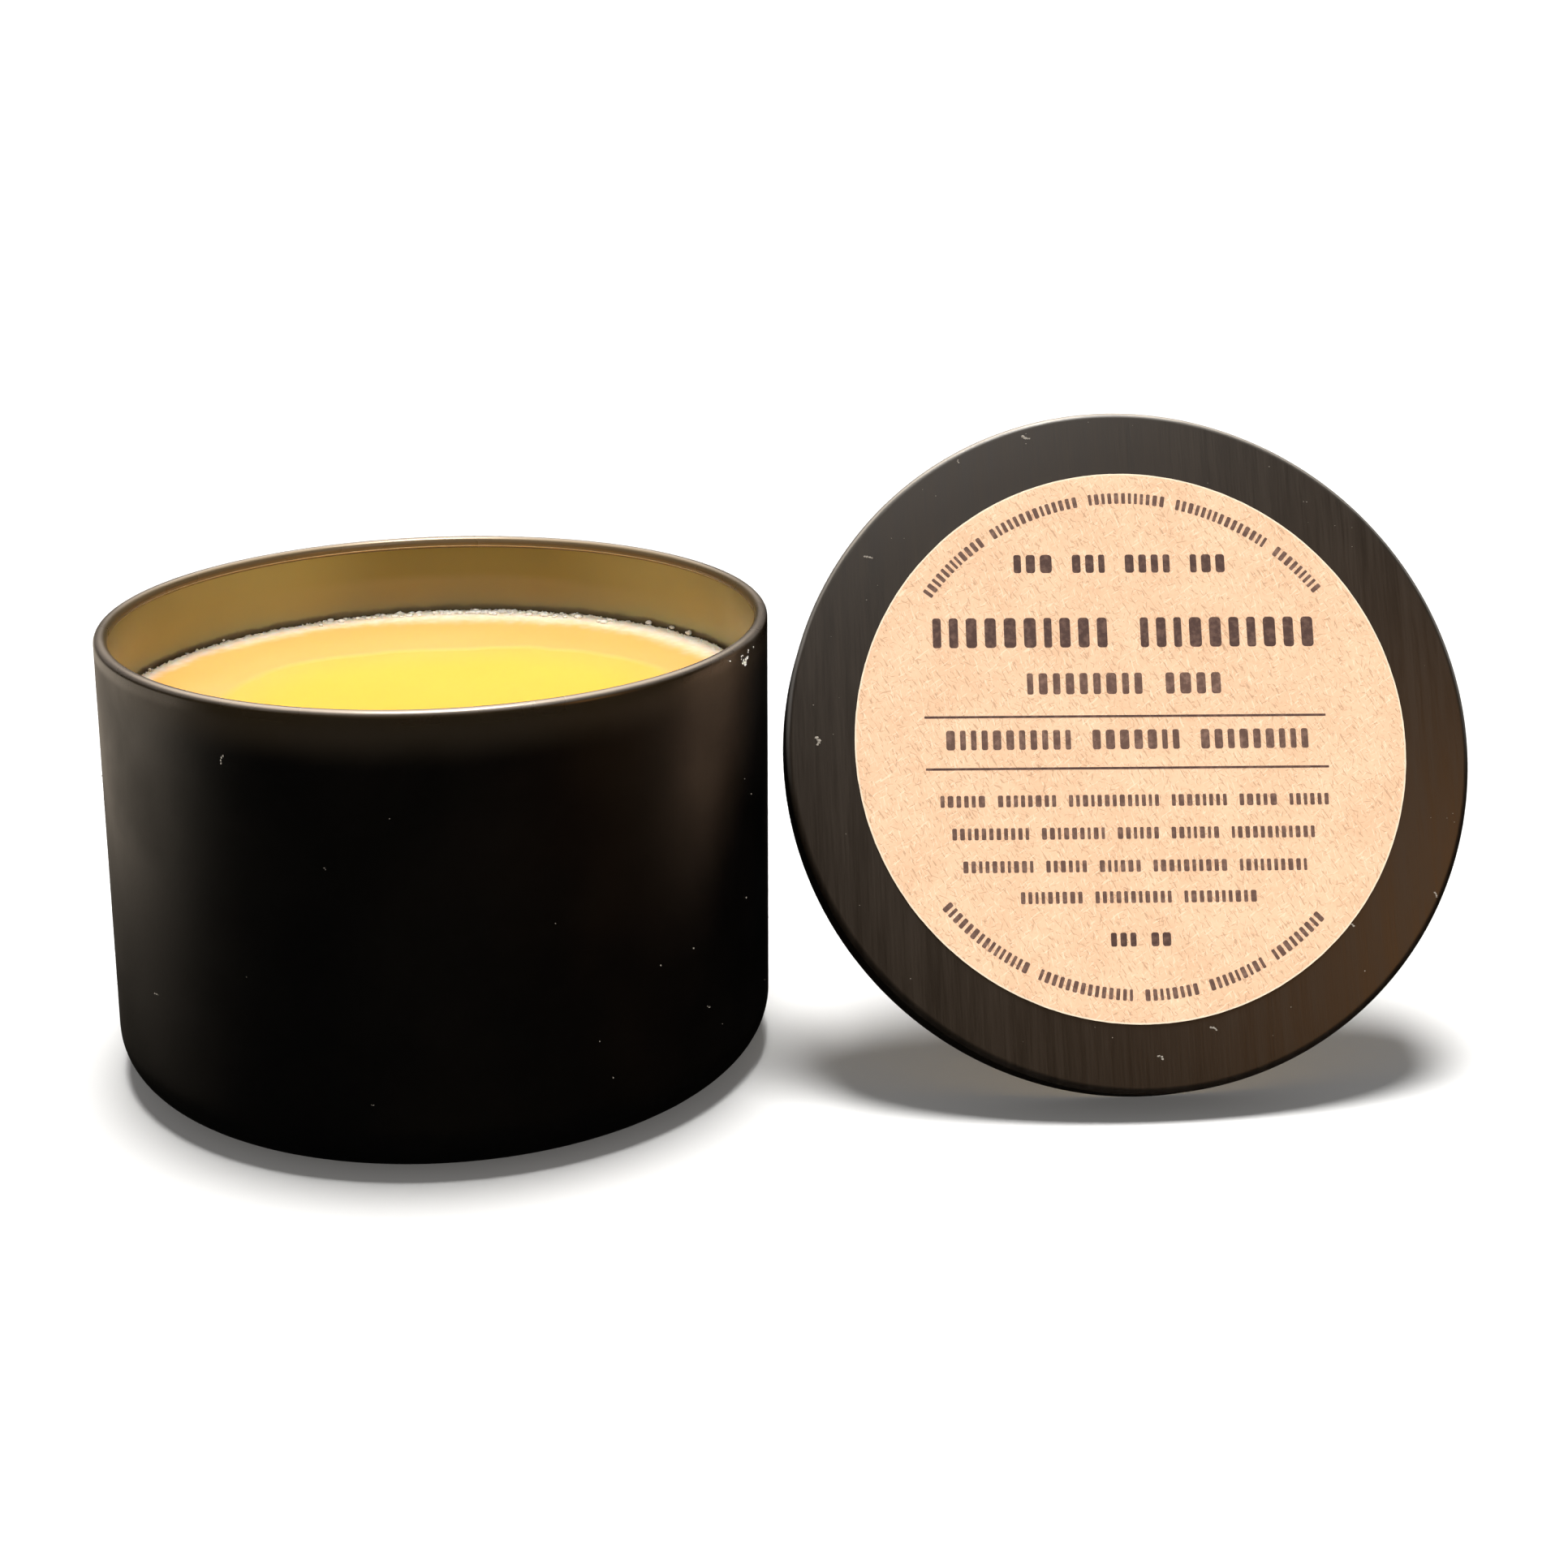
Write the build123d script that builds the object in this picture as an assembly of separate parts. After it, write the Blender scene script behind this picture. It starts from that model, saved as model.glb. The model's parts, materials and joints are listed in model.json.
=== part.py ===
from build123d import *
from math import cos, radians, sin
import os

# Tin of solid polish, standing open, with its slip-on lid beside it.
# Millimetres, +Z up. The origin is the centre of the tin's underside.

# Tin body: one drawn cup with a hem curled inwards at the mouth.
TIN_R = 37.5            # outside radius at the mouth
TIN_BASE_R = 37.25      # outside radius just above the base corner (slight draft)
TIN_H = 51.0            # overall height
SHEET = 0.25            # tinplate thickness
CORNER_R = 6.0          # outside radius of the base corner
BASE_STEP = 0.5         # height of the recessed centre of the base above the standing ring
STAND_R = 28.0          # outer radius of the flat recessed centre
CURL_R = 0.75           # section radius of the inward curl

# Polish: poured solid, drawn slightly away from the wall, with a shallow dish on top.
HEADSPACE = 9.7         # mouth plane down to the polish's edge
POLISH_GAP = 0.15       # shrinkage gap between polish and wall
DISH = 0.5              # depth of the dished centre
DISH_FLAT_R = 18.0      # radius of the flat middle of the dish
EDGE_BREAK = 0.6        # broken edge around the top of the polish

# Lid: one drawn cap whose skirt ends in a flat inward hem.
LID_R = 38.2            # outside radius
LID_DEPTH = 7.5         # overall depth of the cap
LID_CORNER_R = 0.8      # outside radius between top and skirt
HEM_H = 1.8             # height of the folded hem
HEM_T = 0.5             # folded thickness, two layers of sheet

# Label: round paper disc on the lid's flat top.
LABEL_R = 30.8
LABEL_T = 0.16
LABEL_SHIFT_X = 0.2     # applied by hand, so slightly off centre

# Where the lid stands: on the edge of its hem, leaning back, facing -Y.
LEAN = 27.0             # degrees back from upright
TURN = 3.0              # degrees turned towards +X
LID_X = 77.6            # centre of the lid's face
LID_Y = -7.5
LID_Z = LID_R * cos(radians(LEAN)) + LID_DEPTH * sin(radians(LEAN))


def elbow(start, middle, end, radius):
    """Round arc from start to end about a centre, bulging away from it."""
    reach = radius * sin(radians(45))
    half_way = (
        middle[0] + reach * (1 if start[0] + end[0] > 2 * middle[0] else -1),
        middle[1] + reach * (1 if start[1] + end[1] > 2 * middle[1] else -1),
    )
    return ThreePointArc(start, half_way, end)


def turned(profile):
    """Spin an XZ profile about the Z axis."""
    return revolve(profile, Axis.Z)


def tin_body():
    corner = (TIN_BASE_R - CORNER_R, CORNER_R)
    with BuildSketch(Plane.XZ) as section:
        with BuildLine():
            outer = [
                (0, BASE_STEP),
                (STAND_R - 1.0, BASE_STEP),
                (STAND_R, 0),
                (TIN_BASE_R - CORNER_R, 0),
            ]
            Polyline(*outer)
            elbow(outer[-1], corner, (TIN_BASE_R, CORNER_R), CORNER_R)
            Line((TIN_BASE_R, CORNER_R), (TIN_R, TIN_H - CURL_R))
            ThreePointArc(
                (TIN_R, TIN_H - CURL_R),
                (TIN_R - CURL_R, TIN_H),
                (TIN_R - 2 * CURL_R, TIN_H - CURL_R),
            )
            ThreePointArc(
                (TIN_R - 2 * CURL_R, TIN_H - CURL_R),
                (TIN_R - CURL_R - 0.45, TIN_H - CURL_R - 0.6),
                (TIN_R - SHEET, TIN_H - 2 * CURL_R - 0.1),
            )
            Line((TIN_R - SHEET, TIN_H - 2 * CURL_R - 0.1), (TIN_BASE_R - SHEET, CORNER_R))
            elbow((TIN_BASE_R - SHEET, CORNER_R), corner, (corner[0], SHEET), CORNER_R - SHEET)
            Polyline(
                (TIN_BASE_R - CORNER_R, SHEET),
                (STAND_R + 0.1, SHEET),
                (STAND_R - 0.9, BASE_STEP + SHEET),
                (0, BASE_STEP + SHEET),
                (0, BASE_STEP),
            )
        make_face()
    with BuildSketch(Plane.XZ) as hollow:
        with Locations((TIN_R - CURL_R, TIN_H - CURL_R)):
            Circle(CURL_R - SHEET)
    return turned(section.sketch) - turned(hollow.sketch)


def polish():
    floor = BASE_STEP + SHEET
    top = TIN_H - HEADSPACE
    low_r = TIN_BASE_R - SHEET - POLISH_GAP
    top_r = low_r + (TIN_R - TIN_BASE_R) * (top - CORNER_R) / (TIN_H - CORNER_R)
    round_r = CORNER_R - SHEET - POLISH_GAP
    corner = (low_r - round_r, SHEET + round_r)
    with BuildSketch(Plane.XZ) as section:
        with BuildLine():
            Polyline(
                (0, floor),
                (STAND_R - 0.9, floor),
                (STAND_R + 0.1, SHEET),
                (corner[0], SHEET),
            )
            elbow((corner[0], SHEET), corner, (low_r, corner[1]), round_r)
            Polyline(
                (low_r, corner[1]),
                (top_r, top - EDGE_BREAK),
                (top_r - EDGE_BREAK, top),
                (DISH_FLAT_R, top - DISH),
                (0, top - DISH),
                (0, floor),
            )
        make_face()
    return turned(section.sketch)


def lid_shell():
    """Cap drawn mouth down, its flat top at Z = 0."""
    inner_r = LID_R - SHEET
    corner = (LID_R - LID_CORNER_R, -LID_CORNER_R)
    with BuildSketch(Plane.XZ) as section:
        with BuildLine():
            Line((0, 0), (corner[0], 0))
            elbow((corner[0], 0), corner, (LID_R, corner[1]), LID_CORNER_R)
            Polyline(
                (LID_R, corner[1]),
                (LID_R, -LID_DEPTH),
                (LID_R - HEM_T, -LID_DEPTH),
                (LID_R - HEM_T, -LID_DEPTH + HEM_H),
                (inner_r, -LID_DEPTH + HEM_H),
                (inner_r, corner[1]),
            )
            elbow((inner_r, corner[1]), corner, (corner[0], -SHEET), LID_CORNER_R - SHEET)
            Polyline((corner[0], -SHEET), (0, -SHEET), (0, 0))
        make_face()
    return turned(section.sketch)


def lid_label():
    disc = Cylinder(LABEL_R, LABEL_T, align=(Align.CENTER, Align.CENTER, Align.MIN))
    return Pos(LABEL_SHIFT_X, 0, 0) * disc


# The lid's own frame: X along the face, Y up the face, Z out of the face.
out_of_face = (
    sin(radians(TURN)) * cos(radians(LEAN)),
    -cos(radians(TURN)) * cos(radians(LEAN)),
    sin(radians(LEAN)),
)
along_face = (cos(radians(TURN)), sin(radians(TURN)), 0)
lid_place = Location(Plane(origin=(LID_X, LID_Y, LID_Z), x_dir=along_face, z_dir=out_of_face))

parts = {
    "tin_body": tin_body(),
    "polish": polish(),
    "lid_shell": lid_place * lid_shell(),
    "lid_label": lid_place * lid_label(),
}

os.makedirs("parts", exist_ok=True)
for name, shape in parts.items():
    shape.label = name
    export_step(shape, "parts/" + name + ".step")
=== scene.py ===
"""Looks for an open, round, drawn metal tin of polish with its slip-on lid standing beside it."""

import json
import math
import random

import bmesh
import bpy
from mathutils import Matrix, Vector, noise


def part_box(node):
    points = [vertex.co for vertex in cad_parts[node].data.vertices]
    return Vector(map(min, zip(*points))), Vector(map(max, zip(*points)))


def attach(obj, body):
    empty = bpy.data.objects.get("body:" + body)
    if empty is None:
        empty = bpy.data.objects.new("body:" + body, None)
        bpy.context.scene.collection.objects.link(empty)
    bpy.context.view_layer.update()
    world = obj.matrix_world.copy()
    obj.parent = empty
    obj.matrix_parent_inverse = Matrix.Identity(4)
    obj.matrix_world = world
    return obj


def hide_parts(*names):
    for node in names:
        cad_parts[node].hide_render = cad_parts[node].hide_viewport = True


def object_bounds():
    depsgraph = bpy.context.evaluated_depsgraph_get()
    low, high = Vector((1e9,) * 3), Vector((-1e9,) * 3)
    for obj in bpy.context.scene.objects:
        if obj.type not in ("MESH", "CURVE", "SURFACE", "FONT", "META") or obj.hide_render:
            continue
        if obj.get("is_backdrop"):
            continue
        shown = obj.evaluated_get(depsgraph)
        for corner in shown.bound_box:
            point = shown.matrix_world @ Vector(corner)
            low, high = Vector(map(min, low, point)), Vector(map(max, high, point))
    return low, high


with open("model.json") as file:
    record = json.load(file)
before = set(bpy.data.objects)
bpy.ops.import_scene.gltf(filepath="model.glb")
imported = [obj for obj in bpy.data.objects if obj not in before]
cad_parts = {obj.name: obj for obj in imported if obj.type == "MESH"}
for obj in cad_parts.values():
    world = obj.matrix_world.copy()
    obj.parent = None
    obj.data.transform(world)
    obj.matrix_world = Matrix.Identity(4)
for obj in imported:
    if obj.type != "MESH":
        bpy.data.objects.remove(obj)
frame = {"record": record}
cad_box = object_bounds()

# ---------------------------------------------------------------- sizes (millimetres)
MM = 0.001
TAU = 2 * math.pi
STEPS = 384             # points round every turned piece

tin_low, tin_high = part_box("tin_body")
TIN_R = (tin_high[0] - tin_low[0]) / 2 / MM
TIN_H = tin_high[2] / MM
POLISH_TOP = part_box("polish")[1][2] / MM

SHEET = 0.25            # tinplate
DRAFT = 0.25            # the wall is this much narrower just above the base corner
CORNER_R = 6.0          # outside radius of the base corner
BASE_STEP = 0.5         # the base's middle is raised this much
STAND_R = 28.0          # where the standing ring begins
CURL_R = 0.75           # section radius of the curled rim
CURL_END = 232          # degrees of curl, from the outside over the top
CUT_EDGE_AT = 205       # degrees along the curl where the bare cut edge shows
CUT_EDGE_R = 0.075
LINING = 0.03           # gold lacquer, as it stands proud of the sheet inside

DISH = 0.5              # the polish's top is hollow by this much
POOL_STEP = 0.12        # the last poured pool lies this much lower

socket = next(m for m in frame["record"]["mounts"] if m["name"] == "lid_socket")
HEM_T = 0.5             # the folded hem's thickness, all of it inwards
HEM_H = 1.8             # and its height
LID_CORNER_R = 0.8      # outside radius between the lid's face and skirt
LID_R = socket["dims"]["r_mm"] + HEM_T
LID_DEPTH = socket["dims"]["length_mm"] + LID_CORNER_R

LABEL_R = 30.8
LABEL_T = 0.16
LABEL_SHIFT = (0.2, 0.0)    # the label is stuck on a little off centre and turned
LABEL_TURN = math.radians(-1.0)

# The lid's own frame: X along the face, Y up the face, Z out of the face.
lid_out = -Vector(socket["axis"]).normalized()
lid_along = Vector((0, 0, 1)).cross(lid_out).normalized()
lid_up = lid_out.cross(lid_along)
lid_face = Vector(socket["pos_m"]) + lid_out * (socket["dims"]["length_mm"] / 2 + LID_CORNER_R) * MM
LID_PLACE = Matrix.Translation(lid_face) @ Matrix((lid_along, lid_up, lid_out)).transposed().to_4x4()
TIN_PLACE = Matrix.Identity(4)


# ---------------------------------------------------------------- mesh helpers
def arc(centre_r, centre_z, radius, start, end, count):
    """Points of a profile arc, angles in degrees from +R towards +Z."""
    points = []
    for i in range(count + 1):
        a = math.radians(start + (end - start) * i / count)
        points.append((centre_r + radius * math.cos(a), centre_z + radius * math.sin(a)))
    return points


def straight(start, end, count):
    """Evenly spaced profile points from start up to, not including, end."""
    return [
        (start[0] + (end[0] - start[0]) * i / count, start[1] + (end[1] - start[1]) * i / count)
        for i in range(count)
    ]


def add_object(name, verts, faces, place, sharp=math.radians(35)):
    """A mesh object from points in millimetres, smooth but for its sharp edges."""
    mesh = bpy.data.meshes.new(name)
    mesh.from_pydata([(x * MM, y * MM, z * MM) for x, y, z in verts], [], faces)
    work = bmesh.new()
    work.from_mesh(mesh)
    bmesh.ops.recalc_face_normals(work, faces=work.faces)
    work.to_mesh(mesh)
    work.free()
    mesh.shade_smooth()
    mesh.set_sharp_from_angle(angle=sharp)
    obj = bpy.data.objects.new(name, mesh)
    bpy.context.scene.collection.objects.link(obj)
    obj.matrix_world = place
    return obj


def lathe(name, profile, place, shift=None):
    """Spins a profile of (radius, height). A profile off the axis at both ends closes on itself."""
    verts, faces, rings = [], [], []
    for r, z in profile:
        if r < 1e-6:
            rings.append([len(verts)])
            verts.append((0, 0, z))
            continue
        ring = []
        for i in range(STEPS):
            a = TAU * i / STEPS
            dr, dz = shift(a, r, z) if shift else (0, 0)
            ring.append(len(verts))
            verts.append(((r + dr) * math.cos(a), (r + dr) * math.sin(a), z + dz))
        rings.append(ring)
    pairs = list(zip(rings, rings[1:]))
    if len(rings[0]) > 1:
        pairs.append((rings[-1], rings[0]))
    for low, high in pairs:
        for i in range(STEPS):
            j = (i + 1) % STEPS
            if len(low) == 1:
                faces.append((low[0], high[j], high[i]))
            elif len(high) == 1:
                faces.append((low[i], low[j], high[0]))
            else:
                faces.append((low[i], low[j], high[j], high[i]))
    return add_object(name, verts, faces, place)


def ripple(angle, spread, seed):
    """Smooth noise round a circle, about -1 to 1."""
    return noise.noise(Vector((spread * math.cos(angle), spread * math.sin(angle), seed)))


def smooth(low, high, value):
    """0 below low, 1 above high, and a soft step between."""
    t = min(max((value - low) / (high - low), 0), 1)
    return t * t * (3 - 2 * t)


# ---------------------------------------------------------------- shader helpers
class Nodes:
    """A short way to build a material's node tree."""

    def __init__(self, name):
        self.material = bpy.data.materials.new(name)
        self.material.use_nodes = True
        self.tree = self.material.node_tree
        self.shader = self.tree.nodes["Principled BSDF"]
        self.place = self.add("ShaderNodeTexCoord").outputs["Object"]

    def add(self, kind, **values):
        node = self.tree.nodes.new(kind)
        for key, value in values.items():
            setattr(node, key, value)
        return node

    def link(self, source, target):
        self.tree.links.new(source, target)

    def scaled(self, x, y, z):
        node = self.add("ShaderNodeMapping")
        node.inputs["Scale"].default_value = (x, y, z)
        self.link(self.place, node.inputs["Vector"])
        return node.outputs["Vector"]

    def strokes(self, degrees, along, across):
        """Coordinates that draw a noise out along one direction across the face."""
        node = self.add("ShaderNodeMapping", vector_type="TEXTURE")
        node.inputs["Rotation"].default_value = (0, 0, math.radians(degrees))
        node.inputs["Scale"].default_value = (1 / along, 1 / across, 1 / along)
        self.link(self.place, node.inputs["Vector"])
        return node.outputs["Vector"]

    def noise(self, scale, detail=3.0, rough=0.5, vector=None, distortion=0.0):
        node = self.add("ShaderNodeTexNoise")
        node.inputs["Scale"].default_value = scale
        node.inputs["Detail"].default_value = detail
        node.inputs["Roughness"].default_value = rough
        node.inputs["Distortion"].default_value = distortion
        self.link(vector or self.place, node.inputs["Vector"])
        return node.outputs["Fac"]

    def math(self, operation, a, b=0.0):
        node = self.add("ShaderNodeMath", operation=operation)
        for socket_in, value in zip(node.inputs, (a, b)):
            if isinstance(value, (int, float)):
                socket_in.default_value = value
            else:
                self.link(value, socket_in)
        return node.outputs[0]

    def ramp(self, value, low, high, out_low=0.0, out_high=1.0):
        node = self.add("ShaderNodeMapRange", interpolation_type="SMOOTHSTEP")
        names = ("From Min", "From Max", "To Min", "To Max")
        for key, number in zip(names, (low, high, out_low, out_high)):
            node.inputs[key].default_value = number
        self.link(value, node.inputs["Value"])
        return node.outputs["Result"]

    def mix(self, factor, a, b):
        node = self.add("ShaderNodeMix", data_type="RGBA")
        for key, value in (("Factor", factor), ("A", a), ("B", b)):
            socket_in = node.inputs[key]
            if isinstance(value, tuple):
                socket_in.default_value = (*value, 1)
            else:
                self.link(value, socket_in)
        return node.outputs["Result"]

    def set(self, **values):
        """Values that are the same all over go on the shader's own sockets."""
        for key, value in values.items():
            self.shader.inputs[key.replace("_", " ")].default_value = value

    def colour(self, source):
        self.link(source, self.shader.inputs["Base Color"])

    def bump(self, height, strength, distance):
        node = self.add("ShaderNodeBump")
        node.inputs["Strength"].default_value = strength
        node.inputs["Distance"].default_value = distance
        self.link(height, node.inputs["Height"])
        self.link(node.outputs["Normal"], self.shader.inputs["Normal"])

    def axis(self, index):
        """The piece's own X, Y or Z, in metres."""
        node = self.add("ShaderNodeSeparateXYZ")
        self.link(self.place, node.inputs[0])
        return node.outputs[index]

    def height(self):
        return self.axis(2)

    def radius(self):
        """Distance from the piece's own Z axis, in metres."""
        x, y = (self.math("POWER", self.axis(index), 2.0) for index in (0, 1))
        return self.math("SQRT", self.math("ADD", x, y))


# ---------------------------------------------------------------- materials
def black_lacquer():
    """Black outside, with a painted warm glow just below the rim, a pale worn crest that is partly a
    painted highlight, and gold-brown inside the curl.
    """
    n = Nodes("black_lacquer")
    coat = n.mix(n.noise(60, 3), (0.0004, 0.0004, 0.0004), (0.0010, 0.0010, 0.0009))
    # Painted glow: the wall turns warm brown just below the rim, standing in for reflected light.
    edge = n.math("ADD", n.height(), n.math("MULTIPLY", n.noise(40, 3), 0.003))
    rim_glow = n.ramp(edge, (TIN_H - 4.5) * MM, TIN_H * MM, 0.0, 1.0)
    coat = n.mix(rim_glow, coat, (0.013, 0.008, 0.003))
    # Worn crest, partly real wear and partly a painted highlight: a pale metallic band along the top of the
    # rim.
    crest = n.math("ADD", n.height(), n.math("MULTIPLY", n.noise(150, 3), 0.00015))
    wear_and_highlight = n.ramp(crest, (TIN_H - 0.45) * MM, (TIN_H + 0.06) * MM, 0.0, 0.48)
    coat = n.mix(wear_and_highlight, coat, (0.36, 0.31, 0.27))
    inside = n.ramp(n.radius(), (TIN_R - 1.3) * MM, (TIN_R - 0.8) * MM, 1.0, 0.0)
    curl = n.math("MULTIPLY", inside, n.ramp(n.height(), (TIN_H - 2.5) * MM, (TIN_H - 1.8) * MM))
    n.colour(n.mix(curl, coat, (0.10, 0.072, 0.038)))
    n.link(wear_and_highlight, n.shader.inputs["Metallic"])
    satin = n.ramp(n.noise(90, 4), 0.3, 0.7, 0.38, 0.48)
    burnished = n.ramp(n.height(), (TIN_H - 2.2) * MM, (TIN_H - 1.2) * MM, 0.0, 0.13)
    n.link(n.math("SUBTRACT", satin, burnished), n.shader.inputs["Roughness"])
    n.bump(n.noise(1800, 2), 0.06, 0.0001)
    return n.material


def lid_lacquer():
    """Satin lacquer over a brushed face: fine streaks run up the lid, and its upper corner is worn, a pale
    metallic band that is partly a painted highlight.
    """
    n = Nodes("lid_lacquer")
    fine = n.noise(1.0, 2, 0.6, n.scaled(5200, 160, 160))
    broad = n.noise(1.0, 3, 0.6, n.scaled(700, 26, 26))
    tone = n.math("ADD", n.math("MULTIPLY", fine, 0.5), n.math("MULTIPLY", broad, 0.5))
    coat = n.mix(n.ramp(tone, 0.3, 0.7), (0.004, 0.0026, 0.0016), (0.010, 0.0065, 0.0036))
    # Worn upper corner, partly real wear and partly a painted highlight, kept to the upper side where the
    # light catches it.
    reach = n.math("ADD", n.radius(), n.math("MULTIPLY", n.noise(150, 3), 0.0002))
    corner = n.ramp(reach, (LID_R - 0.42) * MM, (LID_R - 0.14) * MM, 0.0, 0.55)
    front = n.ramp(n.height(), -1.1 * MM, -0.5 * MM)
    upper = n.ramp(n.axis(1), -6 * MM, 14 * MM)
    wear_and_highlight = n.math("MULTIPLY", n.math("MULTIPLY", corner, front), upper)
    n.colour(n.mix(wear_and_highlight, coat, (0.36, 0.34, 0.32)))
    n.link(wear_and_highlight, n.shader.inputs["Metallic"])
    n.link(n.ramp(tone, 0.3, 0.7, 0.36, 0.48), n.shader.inputs["Roughness"])
    n.bump(fine, 0.10, 0.0001)
    return n.material


def gold_lacquer():
    """Gold lacquer on tinplate, with a dirty film where the polish meets the wall, a painted reflection in
    a lighter band low on the wall, and painted light on the side walls.
    """
    n = Nodes("gold_lacquer")
    z = n.math("ADD", n.height(), n.math("MULTIPLY", n.noise(260, 4, 0.65), 0.0009))
    film = n.ramp(z, (POLISH_TOP + 0.85) * MM, (POLISH_TOP + 1.3) * MM, 1.0, 0.0)
    # Painted reflection: a lighter band low on the wall, just above the polish.
    wave = n.math("ADD", n.height(), n.math("MULTIPLY", n.noise(30, 2), 0.004))
    reflection_band = n.ramp(wave, (POLISH_TOP + 5.5) * MM, (POLISH_TOP + 7.0) * MM, 1.0, 0.0)
    gold = n.mix(n.noise(45, 3), (0.160, 0.143, 0.058), (0.195, 0.172, 0.075))
    gold = n.mix(reflection_band, gold, (0.205, 0.180, 0.094))
    # Painted light: the lacquer is made lighter and paler towards both side walls.
    side_light = n.ramp(n.math("ABSOLUTE", n.axis(0)), 8 * MM, 27 * MM, 0.0, 0.85)
    gold = n.mix(side_light, gold, (0.30, 0.30, 0.155))
    n.colour(n.mix(film, gold, (0.150, 0.118, 0.062)))
    n.link(n.ramp(film, 0.0, 1.0, 0.5, 0.2), n.shader.inputs["Metallic"])
    n.link(n.ramp(n.noise(120, 3), 0.3, 0.7, 0.30, 0.40), n.shader.inputs["Roughness"])
    n.bump(n.noise(900, 3), 0.05, 0.0001)
    return n.material


def lid_gold():
    """The lid's inside is clean."""
    n = Nodes("gold_lacquer_lid")
    n.colour(n.mix(n.noise(45, 3), (0.30, 0.215, 0.075), (0.40, 0.29, 0.105)))
    n.link(n.ramp(n.noise(120, 3), 0.3, 0.7, 0.30, 0.42), n.shader.inputs["Roughness"])
    n.set(Metallic=1.0)
    return n.material


def bare_edge():
    n = Nodes("bare_edge")
    n.colour(n.mix(n.noise(700, 2), (0.42, 0.34, 0.20), (0.60, 0.50, 0.32)))
    n.set(Metallic=1.0, Roughness=0.3)
    return n.material


def wax():
    """Poured wax and oil: red channel of 'tone' is the pool, green the frosted edge."""
    n = Nodes("wax")
    tone = n.add("ShaderNodeAttribute", attribute_name="tone")
    split = n.add("ShaderNodeSeparateColor")
    n.link(tone.outputs["Color"], split.inputs[0])
    haze = n.noise(70, 3)
    ring = n.mix(haze, (0.88, 0.41, 0.10), (0.90, 0.47, 0.14))
    pool = n.mix(haze, (0.90, 0.48, 0.042), (0.93, 0.53, 0.058))
    body = n.mix(split.outputs[0], ring, pool)
    grain = n.ramp(n.noise(900, 3), 0.35, 0.65, 0.75, 1.0)
    frost = n.math("MULTIPLY", split.outputs[1], grain)
    n.colour(n.mix(frost, body, (0.99, 0.93, 0.80)))
    n.link(n.ramp(split.outputs[1], 0.0, 1.0, 0.45, 0.8), n.shader.inputs["Roughness"])
    n.bump(n.noise(420, 4), 0.05, 0.0002)
    n.set(Subsurface_Weight=0.25, Subsurface_Scale=0.0012, Subsurface_Radius=(1.0, 0.45, 0.12))
    n.set(Specular_IOR_Level=0.3)
    return n.material


# Fibres in the paper: direction in degrees, the noise level where one starts, colour.
FIBRES = (
    (-58, 0.60, (0.36, 0.21, 0.12)),
    (-24, 0.64, (0.42, 0.25, 0.15)),
    (15, 0.65, (0.40, 0.23, 0.13)),
    (80, 0.64, (0.42, 0.25, 0.15)),
    (-75, 0.62, (0.94, 0.68, 0.50)),
    (35, 0.62, (0.94, 0.68, 0.50)),
)


def kraft_paper():
    """Uncoated brown paper: long fibres, specks, and a paler cut edge."""
    n = Nodes("kraft_paper")
    cloud = n.noise(130, 5, 0.6)
    base = n.mix(n.ramp(cloud, 0.3, 0.7), (0.72, 0.46, 0.295), (0.80, 0.52, 0.345))
    weave = n.noise(1300, 4, 0.7)
    base = n.mix(n.ramp(weave, 0.42, 0.75, 0.0, 0.25), base, (0.52, 0.31, 0.18))
    for degrees, least, colour in FIBRES:
        hairs = n.noise(1.0, 1.5, 0.5, n.strokes(degrees, 800, 5200), 0.4)
        base = n.mix(n.ramp(hairs, least, least + 0.07, 0.0, 0.55), base, colour)
    cut = n.ramp(n.radius(), (LABEL_R - 0.24) * MM, (LABEL_R - 0.06) * MM, 0.0, 0.8)
    n.colour(n.mix(cut, base, (0.88, 0.74, 0.58)))
    n.set(Roughness=0.82, Specular_IOR_Level=0.25)
    n.bump(weave, 0.25, 0.00008)
    return n.material


def ink(name, dark, light):
    n = Nodes(name)
    n.colour(n.mix(n.ramp(n.noise(1500, 3, 0.6), 0.4, 0.75), dark, light))
    n.set(Roughness=0.7, Specular_IOR_Level=0.3)
    return n.material


def dust():
    n = Nodes("dust")
    n.colour(n.mix(n.noise(2500, 2), (0.10, 0.09, 0.08), (0.42, 0.38, 0.32)))
    n.set(Roughness=0.9)
    return n.material


def crumb_wax():
    n = Nodes("crumb_wax")
    n.colour(n.mix(n.noise(1500, 2), (0.95, 0.86, 0.68), (0.99, 0.96, 0.88)))
    n.set(Roughness=0.6, Subsurface_Weight=0.3, Subsurface_Scale=0.001, Subsurface_Radius=(1.0, 0.6, 0.3))
    return n.material


def finish_piece(obj, material, body):
    """Gives a piece its material and the body that it rides on."""
    obj.data.materials.append(material)
    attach(obj, body)
    return obj


# ---------------------------------------------------------------- the tin
def wall_r(z):
    """Outside radius of the drafted wall at a height."""
    return TIN_R - DRAFT * (TIN_H - CURL_R - z) / (TIN_H - CURL_R - CORNER_R)


def dented(angle, r, z):
    """Hand-sized unevenness of thin sheet, too small to see except in the highlights."""
    if z < CORNER_R:
        return 0, 0
    depth = 0.025 * ripple(angle, 1.6, z * 0.03)
    return depth, 0.012 * ripple(angle, 3.0, 7.0) * smooth(TIN_H - 3, TIN_H, z)


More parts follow.
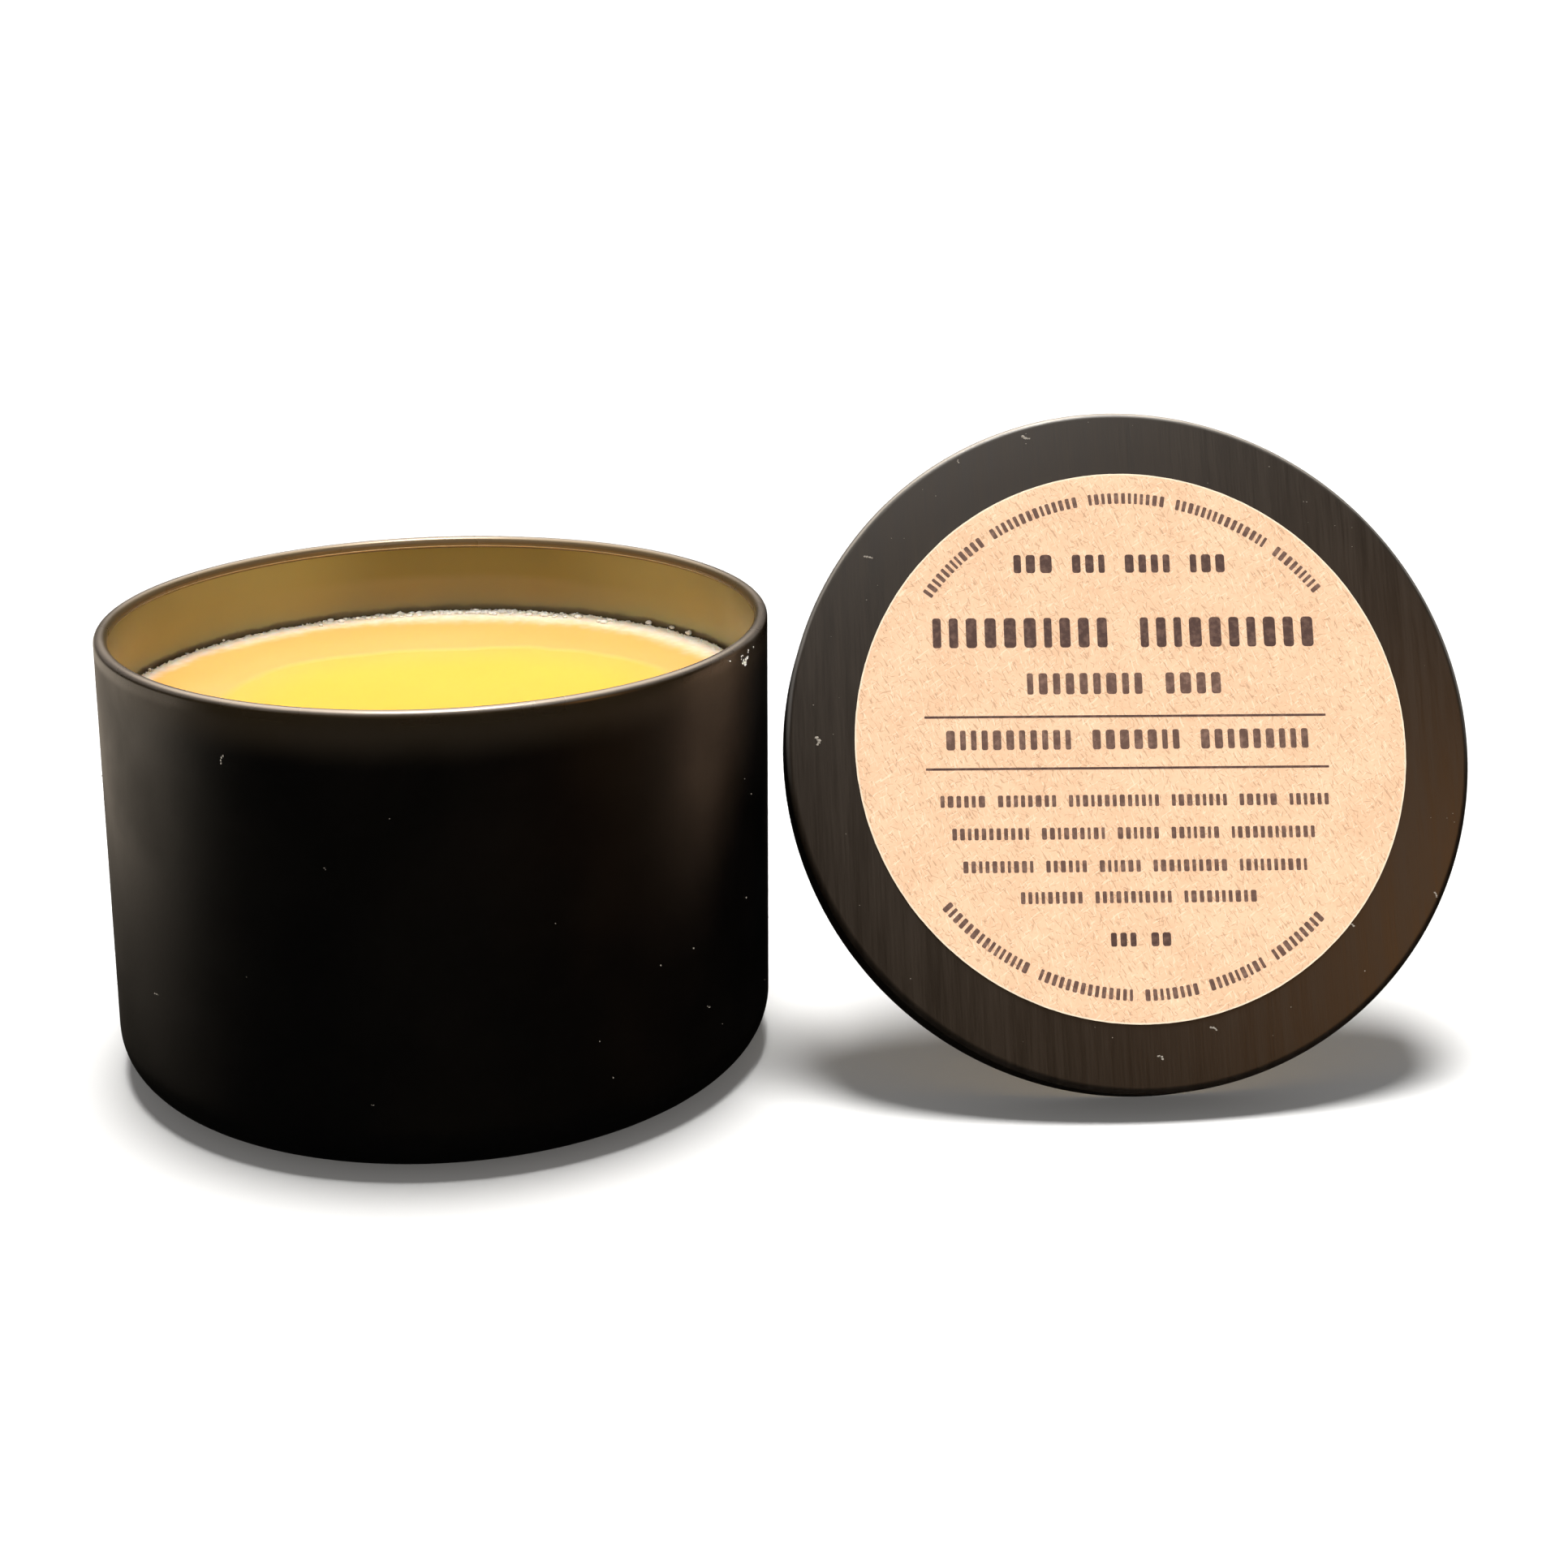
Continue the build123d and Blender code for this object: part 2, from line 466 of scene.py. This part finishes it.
curl_r, curl_z = TIN_R - CURL_R, TIN_H - CURL_R
under_curl = curl_z - CURL_R - 0.1
profile = [(0, BASE_STEP)]
profile += straight((6, BASE_STEP), (STAND_R - 1.2, BASE_STEP), 4)
profile += arc(STAND_R - 1.2, BASE_STEP - 0.25, 0.25, 90, 25, 4)
profile += arc(STAND_R, 0.25, 0.25, 205, 270, 4)
profile += straight((STAND_R + 0.6, 0), (TIN_R - DRAFT - CORNER_R, 0), 2)
profile += arc(TIN_R - DRAFT - CORNER_R, CORNER_R, CORNER_R, -90, 0, 20)
profile += straight((wall_r(CORNER_R + 1.5), CORNER_R + 1.5), (TIN_R, curl_z), 64)
profile += arc(curl_r, curl_z, CURL_R, 0, CURL_END, 26)
profile += straight((wall_r(under_curl) - SHEET, under_curl), (wall_r(CORNER_R) - SHEET, CORNER_R), 22)
profile += arc(TIN_R - DRAFT - CORNER_R, CORNER_R, CORNER_R - SHEET, 0, -90, 10)
profile += [(STAND_R + 0.2, SHEET), (STAND_R - 1.0, BASE_STEP + SHEET), (0, BASE_STEP + SHEET)]
tin_shell = lathe("tin_shell", profile, TIN_PLACE, dented)
finish_piece(tin_shell, black_lacquer(), "tin")
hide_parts("tin_body")

lining_low, lining_high = POLISH_TOP - 6, under_curl + 0.1
low_r, high_r = wall_r(lining_low) - SHEET, wall_r(lining_high) - SHEET
profile = straight((low_r - LINING, lining_low), (high_r - LINING, lining_high), 16)
profile += [(high_r - LINING, lining_high)]
profile += [(high_r + SHEET / 2, lining_high), (low_r + SHEET / 2, lining_low)]
tin_lining = lathe("tin_lining", profile, TIN_PLACE, dented)
finish_piece(tin_lining, gold_lacquer(), "tin")

edge_a = math.radians(CUT_EDGE_AT)
edge_r, edge_z = curl_r + CURL_R * math.cos(edge_a), curl_z + CURL_R * math.sin(edge_a)
tin_edge = lathe("tin_rim_edge", arc(edge_r, edge_z, CUT_EDGE_R, 0, 330, 11), TIN_PLACE, dented)
finish_piece(tin_edge, bare_edge(), "tin")


# ---------------------------------------------------------------- the polish
def bump_at(angle, centre, spread):
    """One smooth hump round a circle, all in degrees but for the angle."""
    away = (math.degrees(angle) - centre + 180) % 360 - 180
    return math.exp(-((away / spread) ** 2))


def pool_r(angle):
    """Edge of the last poured pool: wide at the sides, narrow at the back."""
    base = 24.0 + 1.5 * math.cos(angle) + 2.6 * math.cos(2 * angle) - 0.8 * bump_at(angle, 92, 30)
    return base + 0.9 * ripple(angle, 2.2, 3.0) + 0.5 * ripple(angle, 7.0, 5.0)


def polish_edge(angle):
    """Radius of the broken edge, where the cooled polish drew away from the wall."""
    gap = 0.12 + 0.25 * abs(ripple(angle, 9.0, 1.0)) + 0.5 * abs(ripple(angle, 34.0, 2.0))
    return wall_r(POLISH_TOP) - SHEET - LINING - gap


def frost_width(angle):
    """The cloudy, crumbled margin is widest at the back."""
    width = 2.2 + 4.0 * bump_at(angle, 85, 38) + 2.4 * bump_at(angle, 32, 22)
    width += 1.2 * bump_at(angle, 140, 25)
    return width + 0.9 * ripple(angle, 5.0, 11.0) + 0.4 * ripple(angle, 22.0, 12.0)


def polish_point(angle, share):
    """Top surface at a share of the edge radius: (x, y, z, pool, frost)."""
    r = polish_edge(angle) * share
    x, y = r * math.cos(angle), r * math.sin(angle)
    z = POLISH_TOP - DISH * (1 - share * share)
    z += 0.05 * noise.noise(Vector((x * 0.18, y * 0.18, 0.5)))

    # The pool is a step down with a low bead round it, and its colour deepens inwards.
    past_pool = r - pool_r(angle)
    pool = 1 - smooth(-1.0, 0.5, past_pool)
    z += 0.03 * math.exp(-((past_pool / 0.8) ** 2)) - POOL_STEP * pool
    pool *= 0.6 + 0.4 * smooth(0, 9, -past_pool)

    # The margin is frosted, breaks up near the wall and drops away at the very edge.
    from_edge = polish_edge(angle) - r
    width = frost_width(angle)
    frost = 1 - smooth(0.0, 1.15 * width, from_edge + 0.5 * noise.noise(Vector((x, y, 9.0))))
    crumble = 1 - smooth(0.12 * width, 0.35 * width, from_edge)
    rough = noise.noise(Vector((x * 2.6, y * 2.6, 2.0)))
    rough += 0.6 * noise.noise(Vector((x * 6.0, y * 6.0, 3.0)))
    z += 0.34 * crumble * rough - 0.12 * math.exp(-from_edge / 0.10)
    return x, y, z, pool, frost


POLISH_STEPS = 900
# Rings over the top, as shares of the edge radius: from, to, count. They crowd at the pool's edge
# and at the crumbled margin.
BANDS = ((0.0, 0.52, 12), (0.52, 0.78, 40), (0.78, 0.86, 12), (0.86, 1.0, 44))
shares = [low + (high - low) * i / count for low, high, count in BANDS for i in range(count)]
shares = shares[1:] + [1.0]
verts, tones = [(0, 0, POLISH_TOP - DISH - POOL_STEP)], [(1, 0)]
for share in shares:
    for i in range(POLISH_STEPS):
        x, y, z, pool, frost = polish_point(TAU * i / POLISH_STEPS, share)
        verts.append((x, y, z))
        tones.append((pool, frost))
# The sides stand just off the sheet, from under the broken edge down to the base.
side_r = wall_r(CORNER_R) - SHEET - 0.2
side = [(side_r + 0.12, POLISH_TOP - 1.2), (side_r + 0.1, POLISH_TOP * 0.6), (side_r, CORNER_R)]
side += arc(side_r - CORNER_R + 0.45, CORNER_R, CORNER_R - 0.45, -15, -90, 6)
side += [(STAND_R + 0.2, SHEET + 0.1), (STAND_R - 1.0, BASE_STEP + SHEET)]
for r, z in side:
    for i in range(POLISH_STEPS):
        a = TAU * i / POLISH_STEPS
        verts.append((r * math.cos(a), r * math.sin(a), z))
        tones.append((0, 0))
verts.append((0, 0, BASE_STEP + SHEET))
tones.append((0, 0))
faces = [(0, 1 + i, 1 + (i + 1) % POLISH_STEPS) for i in range(POLISH_STEPS)]
for ring in range(len(shares) + len(side) - 1):
    start = 1 + ring * POLISH_STEPS
    for i in range(POLISH_STEPS):
        j = (i + 1) % POLISH_STEPS
        faces.append((start + i, start + j, start + POLISH_STEPS + j, start + POLISH_STEPS + i))
start = 1 + (len(shares) + len(side) - 1) * POLISH_STEPS
faces += [(start + (i + 1) % POLISH_STEPS, start + i, len(verts) - 1) for i in range(POLISH_STEPS)]
polish_fill = add_object("polish_fill", verts, faces, TIN_PLACE, math.radians(70))
layer = polish_fill.data.color_attributes.new("tone", "FLOAT_COLOR", "POINT")
for item, (pool, frost) in zip(layer.data, tones):
    item.color = (pool, frost, 0, 1)
finish_piece(polish_fill, wax(), "tin")
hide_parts("polish")


def chip(centre, size, seed):
    """One broken crumb: an uneven ball of 80 faces. Points in millimetres."""
    work = bmesh.new()
    bmesh.ops.create_icosphere(work, subdivisions=2, radius=1.0)
    verts = []
    for v in work.verts:
        swell = 1 + 0.45 * noise.noise(v.co * 1.4 + Vector((seed, 0, 0)))
        verts.append(tuple(c + s * swell * k for c, s, k in zip(centre, v.co, size)))
    faces = [tuple(v.index for v in f.verts) for f in work.faces]
    work.free()
    return verts, faces


def cluster(name, chips, place, material, body):
    """Many small chips as one piece."""
    verts, faces = [], []
    for seed, (centre, size) in enumerate(chips):
        some, sides = chip(centre, size, seed * 3.7)
        offset = len(verts)
        verts += some
        faces += [tuple(offset + i for i in f) for f in sides]
    obj = add_object(name, verts, faces, place, math.radians(60))
    return finish_piece(obj, material, body)


def on_wall(degrees, z, off):
    """A point at a distance off the wall's outside, and inside it where that is negative."""
    a = math.radians(degrees)
    r = wall_r(z) + off
    return r * math.cos(a), r * math.sin(a), z


# Small crumbs all round the gap at the wall, and a few big ones.
rng = random.Random(11)
chips = []
for _ in range(34):
    angle = rng.uniform(0, 360)
    size = rng.uniform(0.08, 0.20)
    height = POLISH_TOP - 0.1 + abs(rng.gauss(0, 0.22))
    spot = on_wall(angle, height, -SHEET - rng.uniform(0.15, 0.9))
    chips.append((spot, (size, size, size * 0.8)))
# degrees round the wall, height above the polish, size
BIG_CRUMBS = (
    (52, 0.30, 0.42), (46, 0.36, 0.36), (41, 0.30, 0.46),
    (24, 0.30, 0.34), (168, 0.18, 0.40), (176, 0.12, 0.50),
)
for degrees, up, size in BIG_CRUMBS:
    spot = on_wall(degrees, POLISH_TOP + up, -SHEET - size * 0.7)
    chips.append((spot, (size, size * 0.8, size * 0.6)))
CRUMB = crumb_wax()
cluster("polish_crumbs", chips, TIN_PLACE, CRUMB, "tin")

# A crust of chips where the margin is widest, at the back.
rng = random.Random(23)
chips = []
for _ in range(120):
    angle = math.radians(rng.gauss(90, 13))
    size = rng.uniform(0.10, 0.38)
    r = polish_edge(angle) - rng.uniform(0.3, 2.1)
    spot = (r * math.cos(angle), r * math.sin(angle), POLISH_TOP + 0.2 * size)
    chips.append((spot, (size * 1.3, size, size * 0.7)))
cluster("polish_crust", chips, TIN_PLACE, CRUMB, "tin")

# Polish on the outside of the rim: two stray spots, and a smear that narrows downwards.
smears = [
    (on_wall(-16.5, TIN_H - 1.3, 0.0), (0.05, 0.05, 0.10)),
    (on_wall(-27, TIN_H - 1.0, 0.1), (0.08, 0.08, 0.05)),
]
for _ in range(26):
    down = rng.uniform(0, 1)
    across = rng.uniform(-2.2, 2.4) * (1 - 0.7 * down)
    size = rng.uniform(0.05, 0.10) + 0.07 * down
    smears.append((on_wall(-21 + across, TIN_H - 1.1 - 1.5 * down, -0.02), (size * 0.7, size * 0.7, size)))
cluster("rim_smears", smears, TIN_PLACE, CRUMB, "tin")

# ---------------------------------------------------------------- the lid
inner_r = LID_R - SHEET
profile = [(0, 0)]
profile += straight((8, 0), (LID_R - LID_CORNER_R, 0), 6)
profile += arc(LID_R - LID_CORNER_R, -LID_CORNER_R, LID_CORNER_R, 90, 0, 12)
profile += straight((LID_R, -LID_CORNER_R - 0.8), (LID_R, -LID_DEPTH + 0.2), 6)
profile += arc(LID_R - HEM_T / 2, -LID_DEPTH + HEM_T / 2, HEM_T / 2, 0, -180, 10)
profile += [(LID_R - HEM_T, -LID_DEPTH + HEM_H - 0.1), (LID_R - HEM_T + 0.1, -LID_DEPTH + HEM_H)]
profile += straight((inner_r, -LID_DEPTH + HEM_H + 0.05), (inner_r, -LID_CORNER_R), 5)
profile += arc(LID_R - LID_CORNER_R, -LID_CORNER_R, LID_CORNER_R - SHEET, 0, 90, 8)
profile += [(LID_R * 0.5, -SHEET), (0, -SHEET)]


def lid_unevenness(angle, r, z):
    """The lid's sheet is a little uneven too, most of all near its edge."""
    return 0.02 * ripple(angle, 1.5, 21.0), 0.02 * ripple(angle, 2.0, 23.0) * smooth(20, 36, r)


lid_cap = lathe("lid_cap", profile, LID_PLACE, lid_unevenness)
finish_piece(lid_cap, lid_lacquer(), "lid")
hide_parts("lid_shell")

lining_r = inner_r - LINING
top = -SHEET - LINING
profile = [(0, top), (LID_R * 0.5, top)]
profile += arc(LID_R - LID_CORNER_R, top - LID_CORNER_R + SHEET, LID_CORNER_R - SHEET - LINING, 90, 0, 8)
profile += [(lining_r, -LID_DEPTH + HEM_H + 0.05), (lining_r + 0.1, -LID_DEPTH + HEM_H + 0.05)]
profile += arc(LID_R - LID_CORNER_R, -LID_CORNER_R, LID_CORNER_R - SHEET + 0.05, 0, 90, 8)
profile += [(LID_R * 0.5, -SHEET + 0.05), (0, -SHEET + 0.05)]
lid_lining = lathe("lid_lining", profile, LID_PLACE)
finish_piece(lid_lining, lid_gold(), "lid")

# ---------------------------------------------------------------- the label
LABEL_PLACE = LID_PLACE @ Matrix.Translation(Vector((*LABEL_SHIFT, 0)) * MM)
LABEL_PLACE = LABEL_PLACE @ Matrix.Rotation(LABEL_TURN, 4, "Z")


def label_lift(angle, r, z):
    """The paper lies flat but for a faint ripple and a slightly lifted edge."""
    lift = 0.05 * max(0, ripple(angle, 3.0, 31.0)) * smooth(LABEL_R - 4, LABEL_R, r)
    return 0.03 * ripple(angle, 40.0, 33.0) * (r > LABEL_R - 1), lift * (z > 0)


profile = [(0, LABEL_T)] + straight((2, LABEL_T), (LABEL_R - 0.05, LABEL_T), 24)
profile += arc(LABEL_R - 0.05, LABEL_T - 0.05, 0.05, 90, 0, 3)
profile += [(LABEL_R, 0.0), (LABEL_R * 0.5, -0.02), (0, -0.02)]
label_disc = lathe("label_disc", profile, LABEL_PLACE, label_lift)
finish_piece(label_disc, kraft_paper(), "lid")
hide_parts("lid_label")

INK_LOW, INK_HIGH = LABEL_T - 0.03, LABEL_T + 0.012     # ink stands just proud of the paper
RULES_AT = (2.9, -2.9)
RULE = (45.0, 0.26, 0.05)                               # length, height, corner radius
RULE_SHIFT = -0.5


def prism(outline, verts, faces):
    """A flat closed patch of ink from a counter-clockwise outline."""
    start, count = len(verts), len(outline)
    verts += [(x, y, INK_LOW) for x, y in outline] + [(x, y, INK_HIGH) for x, y in outline]
    faces.append(tuple(start + count + i for i in range(count)))
    faces.append(tuple(start + count - 1 - i for i in range(count)))
    for i in range(count):
        j = (i + 1) % count
        faces.append((start + i, start + j, start + count + j, start + count + i))


def rounded(width, height, radius, count=5):
    """Outline of a rounded bar about the origin."""
    radius = min(radius, width / 2, height / 2)
    outline = []
    for quarter, (sx, sy) in enumerate(((1, 1), (-1, 1), (-1, -1), (1, -1))):
        for i in range(count + 1):
            a = (quarter + i / count) * math.pi / 2
            outline.append((
                sx * (width / 2 - radius) + radius * math.cos(a),
                sy * (height / 2 - radius) + radius * math.sin(a),
            ))
    return outline


def split_run(total, count, gap, draw, least=0.6, most=1.5):
    """Splits a run into uneven parts with equal gaps between: a list of (centre, width)."""
    parts = [draw.uniform(least, most) for _ in range(count)]
    scale = (total - gap * (count - 1)) / sum(parts)
    at, out = -total / 2, []
    for part in parts:
        out.append((at + part * scale / 2, part * scale))
        at += part * scale + gap
    return out


def blocks(run, height, count, draw):
    """Stand-ins for a line of print: words of small blocks, as (centre, width, height)."""
    out = []
    for word_x, word in split_run(run, count, height * 1.1, draw):
        letters = max(1, round(word / (height * 0.6)))
        for x, width in split_run(word, letters, height * 0.26, draw, 0.75, 1.3):
            out.append((word_x + x, width, height))
    return out


def flat_line(run, y, height, count, draw, verts, faces, shift):
    """A straight line of stand-in print, as ink patches."""
    for x, width, tall in blocks(run, height, count, draw):
        outline = rounded(width, tall, width * 0.3)
        prism([(x + shift + px, y + py) for px, py in outline], verts, faces)


def bent_line(radius, start, end, height, count, draw, verts, faces):
    """The same, bent round the label's centre, angles in degrees."""
    middle_angle, run = (start + end) / 2, abs(end - start)
    sign = 1 if start > end else -1
    for x, width, tall in blocks(math.radians(run) * radius, height, count, draw):
        turn = math.radians(middle_angle) - sign * x / radius - math.pi / 2
        outline = rounded(width, tall, width * 0.3)
        place = Matrix.Rotation(turn, 3, "Z")
        points = [place @ Vector((px, radius + py, 0)) for px, py in outline]
        prism([(q.x, q.y) for q in points], verts, faces)


draw = random.Random(4)
bold_verts, bold_faces, fine_verts, fine_faces = [], [], [], []
# height up the label, run length, block height, words, shift along
HEAVY_ROWS = ((20.3, 24.0, 2.1, 4, -0.4), (12.4, 43.0, 3.4, 2, -0.3), (-21.7, 6.6, 1.5, 2, 0.0))
FINE_ROWS = (
    (6.6, 21.8, 2.4, 2, -0.5), (0.3, 40.5, 2.2, 3, -0.4), (-6.5, 43.2, 1.3, 6, 0.1),
    (-10.1, 40.2, 1.3, 5, -0.2), (-13.7, 38.0, 1.3, 5, -0.2), (-17.1, 26.0, 1.3, 3, 0.0),
)
# radius, first and last degree, block height, words
BENT_ROWS = ((27.9, 143, 38, 1.25, 5), (27.7, 220, 316, 1.25, 5))
for y, run, height, count, shift in HEAVY_ROWS:
    flat_line(run, y, height, count, draw, bold_verts, bold_faces, shift)
for y, run, height, count, shift in FINE_ROWS:
    flat_line(run, y, height, count, draw, fine_verts, fine_faces, shift)
for y in RULES_AT:
    prism([(x + RULE_SHIFT, y + up) for x, up in rounded(*RULE)], bold_verts, bold_faces)
for radius, start, end, height, count in BENT_ROWS:
    bent_line(radius, start, end, height, count, draw, fine_verts, fine_faces)
bold_print = add_object("label_print_heavy", bold_verts, bold_faces, LABEL_PLACE)
finish_piece(bold_print, ink("ink_heavy", (0.06, 0.032, 0.026), (0.13, 0.075, 0.058)), "lid")
fine_print = add_object("label_print_fine", fine_verts, fine_faces, LABEL_PLACE)
finish_piece(fine_print, ink("ink_fine", (0.10, 0.055, 0.042), (0.20, 0.12, 0.09)), "lid")


# ---------------------------------------------------------------- dust on the lacquer
def smear(size, draw):
    """A short crooked trail of flakes: offsets across a surface with their sizes."""
    heading, bend = draw.uniform(0, TAU), draw.uniform(-0.9, 0.9)
    x = y = 0.0
    trail = []
    for _ in range(4):
        flake = size * draw.uniform(0.12, 0.26)
        trail.append((x, y, flake))
        x += math.cos(heading) * flake * 1.7
        y += math.sin(heading) * flake * 1.7
        heading += bend
    return trail


DUST = dust()
rng = random.Random(5)
# degrees round the wall, height, size
TIN_MARKS = ((-118, 45.2, 0.8), (-139, 15.9, 0.7), (-34, 12.2, 0.6), (-101, 34.3, 0.35), (-95, 8.9, 0.35))
chips = []
for degrees, z, size in TIN_MARKS:
    for across, up, flake in smear(size, rng):
        spot = on_wall(degrees + math.degrees(across / TIN_R), z + up, 0)
        chips.append((spot, (flake * 0.4, flake * 0.4, flake * 0.6)))
for _ in range(30):
    size = rng.uniform(0.04, 0.09)
    chips.append((on_wall(rng.uniform(0, 360), rng.uniform(8, 48), 0), (size, size, size)))
cluster("dust_tin", chips, TIN_PLACE, DUST, "tin")
# across the lid, up the lid, size
LID_MARKS = (
    (-34.7, 0.6, 0.9), (-28.6, 21.8, 0.8), (-17.4, 32.5, 0.35), (-9.2, 35.2, 0.9), (23.4, -20.9, 0.6),
    (7.4, -31.6, 0.7), (1.3, -34.5, 0.7), (32.9, -18.0, 0.5),
)
chips = []
for x, y, size in LID_MARKS:
    chips += [((x + dx, y + dy, 0.0), (flake, flake * 0.7, 0.04)) for dx, dy, flake in smear(size, rng)]
for _ in range(36):
    angle, r, size = rng.uniform(0, TAU), rng.uniform(LABEL_R + 0.5, LID_R - 1), rng.uniform(0.03, 0.07)
    chips.append(((r * math.cos(angle), r * math.sin(angle), 0.0), (size, size * 0.7, 0.03)))
cluster("dust_lid", chips, LID_PLACE, DUST, "lid")

# ---------------------------------------------------------------- floor, light, camera
scene = bpy.context.scene
FLOOR = 12.0            # metres, far wider than any view
work = bmesh.new()
bmesh.ops.create_grid(work, x_segments=1, y_segments=1, size=FLOOR)
mesh = bpy.data.meshes.new("floor")
work.to_mesh(mesh)
work.free()
floor = bpy.data.objects.new("floor", mesh)
scene.collection.objects.link(floor)
floor_look = Nodes("floor_white")
floor_look.set(Base_Color=(0.9, 0.9, 0.9, 1), Roughness=1.0, Specular_IOR_Level=0.0)
mesh.materials.append(floor_look.material)
floor.visible_glossy = False
floor.visible_shadow = False
floor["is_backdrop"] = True

world = bpy.data.worlds.new("studio")
scene.world = world
world.use_nodes = True
tree = world.node_tree
tree.nodes.clear()
output = tree.nodes.new("ShaderNodeOutputWorld")
ray = tree.nodes.new("ShaderNodeLightPath")
way = tree.nodes.new("ShaderNodeTexCoord")


def background(colour, strength):
    node = tree.nodes.new("ShaderNodeBackground")
    node.inputs["Color"].default_value = (*colour, 1)
    node.inputs["Strength"].default_value = strength
    return node.outputs[0]


def choose(test, no, yes):
    node = tree.nodes.new("ShaderNodeMixShader")
    tree.links.new(test, node.inputs[0])
    tree.links.new(no, node.inputs[1])
    tree.links.new(yes, node.inputs[2])
    return node.outputs[0]


def glow(direction, inner, outer, colour, strength):
    """A soft patch of light in the surroundings, full inside one angle and gone outside the other."""
    dot = tree.nodes.new("ShaderNodeVectorMath")
    dot.operation = "DOT_PRODUCT"
    tree.links.new(way.outputs["Generated"], dot.inputs[0])
    dot.inputs[1].default_value = Vector(direction).normalized()
    fade = tree.nodes.new("ShaderNodeMapRange")
    fade.interpolation_type = "SMOOTHSTEP"
    fade.inputs["From Min"].default_value = math.cos(math.radians(outer))
    fade.inputs["From Max"].default_value = math.cos(math.radians(inner))
    fade.inputs["To Max"].default_value = strength
    tree.links.new(dot.outputs["Value"], fade.inputs["Value"])
    node = tree.nodes.new("ShaderNodeBackground")
    node.inputs["Color"].default_value = (*colour, 1)
    tree.links.new(fade.outputs["Result"], node.inputs["Strength"])
    return node.outputs[0]


def both(a, b):
    node = tree.nodes.new("ShaderNodeAddShader")
    tree.links.new(a, node.inputs[0])
    tree.links.new(b, node.inputs[1])
    return node.outputs[0]


FILL = 0.13
plain = background((1, 1, 1), FILL)
overhead = glow((-0.05, 0.34, 0.94), 22, 50, (1.0, 0.90, 0.76), 5.5)
ahead = glow((0.0, -0.75, 0.66), 15, 48, (1.0, 0.64, 0.35), 0.29)
glossy = choose(ray.outputs["Is Glossy Ray"], plain, both(overhead, ahead))
seen = choose(ray.outputs["Is Camera Ray"], glossy, background((1, 1, 1), 1.15))
tree.links.new(seen, output.inputs[0])


def place_light(name, kind, at, aim, power, colour):
    """A light at a point in metres, aimed at another."""
    lamp = bpy.data.lights.new(name, kind)
    lamp.energy = power
    lamp.color = colour
    obj = bpy.data.objects.new(name, lamp)
    scene.collection.objects.link(obj)
    obj.location = at
    obj.rotation_euler = (Vector(aim) - Vector(at)).to_track_quat("-Z", "Y").to_euler()
    obj.visible_camera = False
    return obj


def softbox(name, at, aim, size, power, colour):
    obj = place_light(name, "AREA", at, aim, power, colour)
    obj.data.shape = "RECTANGLE"
    obj.data.size, obj.data.size_y = size
    return obj


middle = (0.04, 0.0, 0.03)
# A wide overhead source, slightly behind: it whitens the floor and drops short soft shadows in front.
key = place_light("key", "SUN", (0.0, 0.07, 0.9), (0, 0, 0), 4.2, (1.0, 0.99, 0.97))
key.data.angle = math.radians(22)
front = softbox("front_fill", (0.15, -1.6, 0.32), middle, (0.9, 0.4), 13.6, (1.0, 0.97, 0.93))
front.visible_glossy = False
# Three small lights that only show as soft sheens on the lacquer.
# name, place, aim, size, power, colour
SHEENS = (
    ("left_strip", (-0.22, 0.09, -0.008), (-0.03, 0, -0.008), (0.34, 0.085), 0.100, (1.0, 0.85, 0.68)),
    ("lid_sheen_cool", (0.074, -0.09, 0.17), (0.086, 0.02, 0.068), (0.08, 0.05), 0.032, (1.0, 0.98, 0.96)),
    ("lid_sheen_warm", (0.17, -0.12, 0.08), (0.095, 0.0, 0.02), (0.06, 0.06), 0.040, (1.0, 0.43, 0.12)),
)
for values in SHEENS:
    softbox(*values).visible_diffuse = False

CAMERA_AT = (0.03785, -0.28851, 0.12933)
CAMERA_DOWN = 0.2188    # radians below the horizon
CAMERA_ROLL = -0.0087
data = bpy.data.cameras.new("camera")
data.sensor_width = 36.0
data.lens = 60.8
data.shift_x = 0.0093
data.shift_y = -0.1894
camera = bpy.data.objects.new("camera", data)
scene.collection.objects.link(camera)
camera.matrix_world = (
    Matrix.Translation(CAMERA_AT)
    @ Matrix.Rotation(math.pi / 2 - CAMERA_DOWN, 4, "X")
    @ Matrix.Rotation(CAMERA_ROLL, 4, "Z")
)
scene.camera = camera
scene.view_settings.view_transform = "Standard"

size = {"cad": [list(corner) for corner in cad_box], "visual": [list(corner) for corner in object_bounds()]}
